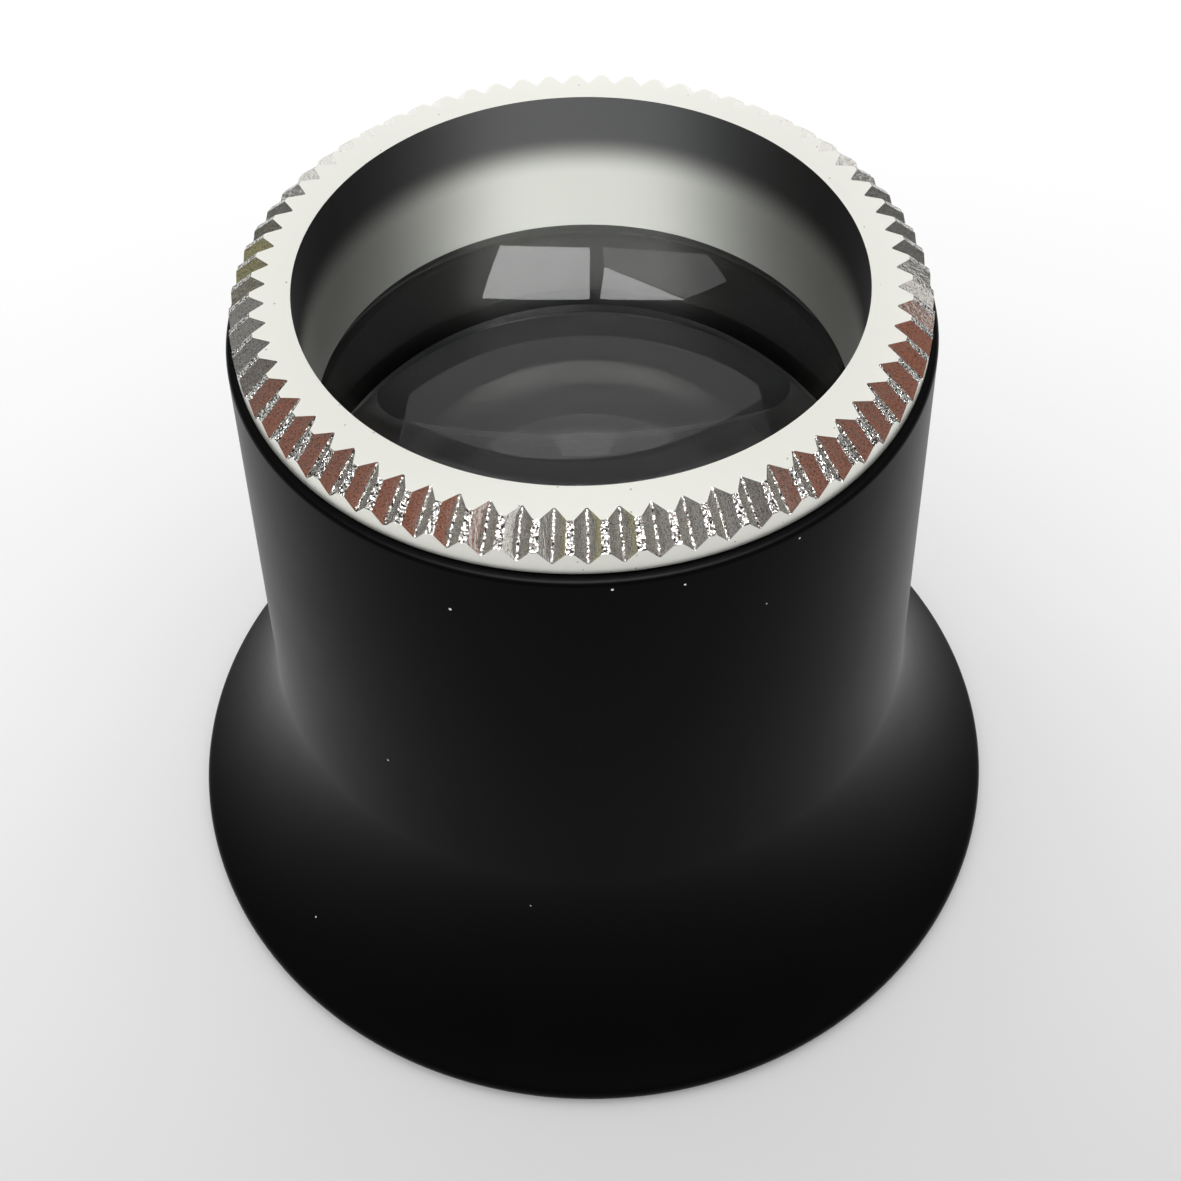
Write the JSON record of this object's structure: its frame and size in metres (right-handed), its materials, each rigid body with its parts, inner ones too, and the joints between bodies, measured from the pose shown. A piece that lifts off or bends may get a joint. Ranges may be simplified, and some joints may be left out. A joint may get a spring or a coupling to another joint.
{
  "type": "watchmaker loupe",
  "caption": "Eye-socket loupe: a flared black eyecup with a knurled aluminium ring that screws a pair of plano-convex lenses and their spacer into it.",
  "frame": {"origin": "centre of the eye rim, on the surface that the loupe stands on", "axes": "+Z along the optical axis, from the eye to the work; X and Y are alike, and one knurl groove lies at -Y"},
  "size_m": [0.036, 0.036, 0.0286],
  "materials": {
    "eyecup": "satin moulded",
    "lens_ring": "turned bright, black bore",
    "lens_glass": "polished",
    "spacer": "black anodised"
  },
  "bodies": {
    "cup": {"eyecup": "eyecup", "spacer_ring": "spacer", "lower_lens": "lens_glass"},
    "lens_cell": {"upper_lens": "lens_glass"},
    "ring": {"lens_ring": "lens_ring"}
  },
  "joints": [
    {"name": "ring_lift", "type": "slide", "parent": "cup", "child": "lens_cell", "axis": [0, 0, 1], "range_m": [0, 0.004]},
    {"name": "ring_turn", "type": "hinge", "parent": "lens_cell", "child": "ring", "pos_m": [0, 0, 0.0227], "axis": [0, 0, 1], "range_deg": [0, 1800]}
  ],
  "couplings": [
    {"joint": "ring_lift", "follows": "ring_turn", "m_per_rad": 0.00012732}
  ]
}
